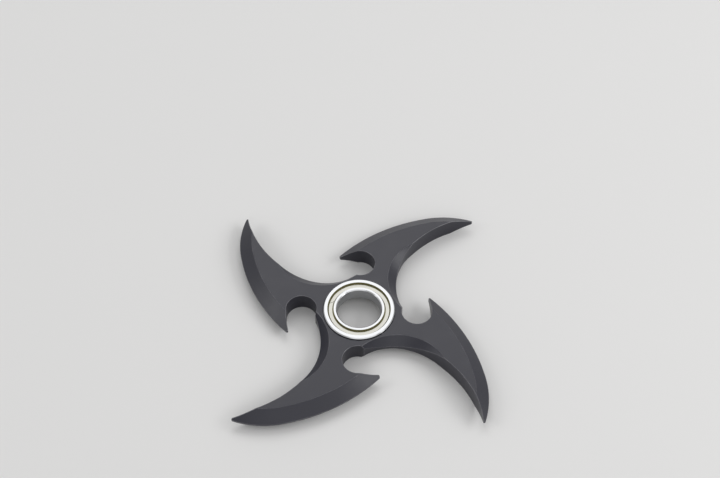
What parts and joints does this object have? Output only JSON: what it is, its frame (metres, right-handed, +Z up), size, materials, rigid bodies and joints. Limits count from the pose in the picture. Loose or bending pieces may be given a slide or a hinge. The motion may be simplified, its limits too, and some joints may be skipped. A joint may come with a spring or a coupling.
{
  "type": "fidget spinner",
  "caption": "Flat star with curved, hooked, bevelled blades that spins round an open-bore ball bearing held over a finger or between two fingertips.",
  "frame": {"origin": "on the spin axis, at the star's underside", "axes": "+Z up the spin axis, +X and +Y between the blades as the spinner lies at rest"},
  "size_m": [0.0842, 0.0842, 0.0076],
  "materials": {
    "black_paint": "satin",
    "ring_steel": "polished",
    "shield_steel": "satin",
    "cage_steel": "satin",
    "ball_steel": "polished"
  },
  "bodies": {
    "finger_race": {"inner_ring": "ring_steel"},
    "spinner": {"star_body": "black_paint", "outer_ring": "ring_steel", "upper_shield": "shield_steel", "lower_shield": "shield_steel"},
    "cage": {"upper_cage": "cage_steel", "lower_cage": "cage_steel", "cage_rivets": "cage_steel"},
    "ball_01": {"ball_01": "ball_steel"},
    "ball_02": {"ball_02": "ball_steel"},
    "ball_03": {"ball_03": "ball_steel"},
    "ball_04": {"ball_04": "ball_steel"},
    "ball_05": {"ball_05": "ball_steel"},
    "ball_06": {"ball_06": "ball_steel"},
    "ball_07": {"ball_07": "ball_steel"},
    "ball_08": {"ball_08": "ball_steel"},
    "ball_09": {"ball_09": "ball_steel"},
    "ball_10": {"ball_10": "ball_steel"},
    "ball_11": {"ball_11": "ball_steel"},
    "ball_12": {"ball_12": "ball_steel"},
    "ball_13": {"ball_13": "ball_steel"},
    "ball_14": {"ball_14": "ball_steel"}
  },
  "joints": [
    {"name": "spin", "type": "hinge", "parent": "finger_race", "child": "spinner", "pos_m": [0, 0, 0.00505], "axis": [0, 0, 1], "continuous": true},
    {"name": "cage_orbit", "type": "hinge", "parent": "finger_race", "child": "cage", "pos_m": [0, 0, 0.00505], "axis": [0, 0, 1], "continuous": true},
    {"name": "ball_01_roll", "type": "hinge", "parent": "cage", "child": "ball_01", "pos_m": [0.00975, 0, 0.00505], "axis": [0, 0, 1], "continuous": true},
    {"name": "ball_02_roll", "type": "hinge", "parent": "cage", "child": "ball_02", "pos_m": [0.00878, 0.00423, 0.00505], "axis": [0, 0, 1], "continuous": true},
    {"name": "ball_03_roll", "type": "hinge", "parent": "cage", "child": "ball_03", "pos_m": [0.00608, 0.00762, 0.00505], "axis": [0, 0, 1], "continuous": true},
    {"name": "ball_04_roll", "type": "hinge", "parent": "cage", "child": "ball_04", "pos_m": [0.00217, 0.00951, 0.00505], "axis": [0, 0, 1], "continuous": true},
    {"name": "ball_05_roll", "type": "hinge", "parent": "cage", "child": "ball_05", "pos_m": [-0.00217, 0.00951, 0.00505], "axis": [0, 0, 1], "continuous": true},
    {"name": "ball_06_roll", "type": "hinge", "parent": "cage", "child": "ball_06", "pos_m": [-0.00608, 0.00762, 0.00505], "axis": [0, 0, 1], "continuous": true},
    {"name": "ball_07_roll", "type": "hinge", "parent": "cage", "child": "ball_07", "pos_m": [-0.00878, 0.00423, 0.00505], "axis": [0, 0, 1], "continuous": true},
    {"name": "ball_08_roll", "type": "hinge", "parent": "cage", "child": "ball_08", "pos_m": [-0.00975, 0, 0.00505], "axis": [0, 0, 1], "continuous": true},
    {"name": "ball_09_roll", "type": "hinge", "parent": "cage", "child": "ball_09", "pos_m": [-0.00878, -0.00423, 0.00505], "axis": [0, 0, 1], "continuous": true},
    {"name": "ball_10_roll", "type": "hinge", "parent": "cage", "child": "ball_10", "pos_m": [-0.00608, -0.00762, 0.00505], "axis": [0, 0, 1], "continuous": true},
    {"name": "ball_11_roll", "type": "hinge", "parent": "cage", "child": "ball_11", "pos_m": [-0.00217, -0.00951, 0.00505], "axis": [0, 0, 1], "continuous": true},
    {"name": "ball_12_roll", "type": "hinge", "parent": "cage", "child": "ball_12", "pos_m": [0.00217, -0.00951, 0.00505], "axis": [0, 0, 1], "continuous": true},
    {"name": "ball_13_roll", "type": "hinge", "parent": "cage", "child": "ball_13", "pos_m": [0.00608, -0.00762, 0.00505], "axis": [0, 0, 1], "continuous": true},
    {"name": "ball_14_roll", "type": "hinge", "parent": "cage", "child": "ball_14", "pos_m": [0.00878, -0.00423, 0.00505], "axis": [0, 0, 1], "continuous": true}
  ],
  "couplings": [
    {"joint": "cage_orbit", "follows": "spin", "ratio": 0.56103},
    {"joint": "ball_01_roll", "follows": "spin", "ratio": 4.0356},
    {"joint": "ball_02_roll", "follows": "spin", "ratio": 4.0356},
    {"joint": "ball_03_roll", "follows": "spin", "ratio": 4.0356},
    {"joint": "ball_04_roll", "follows": "spin", "ratio": 4.0356},
    {"joint": "ball_05_roll", "follows": "spin", "ratio": 4.0356},
    {"joint": "ball_06_roll", "follows": "spin", "ratio": 4.0356},
    {"joint": "ball_07_roll", "follows": "spin", "ratio": 4.0356},
    {"joint": "ball_08_roll", "follows": "spin", "ratio": 4.0356},
    {"joint": "ball_09_roll", "follows": "spin", "ratio": 4.0356},
    {"joint": "ball_10_roll", "follows": "spin", "ratio": 4.0356},
    {"joint": "ball_11_roll", "follows": "spin", "ratio": 4.0356},
    {"joint": "ball_12_roll", "follows": "spin", "ratio": 4.0356},
    {"joint": "ball_13_roll", "follows": "spin", "ratio": 4.0356},
    {"joint": "ball_14_roll", "follows": "spin", "ratio": 4.0356}
  ]
}
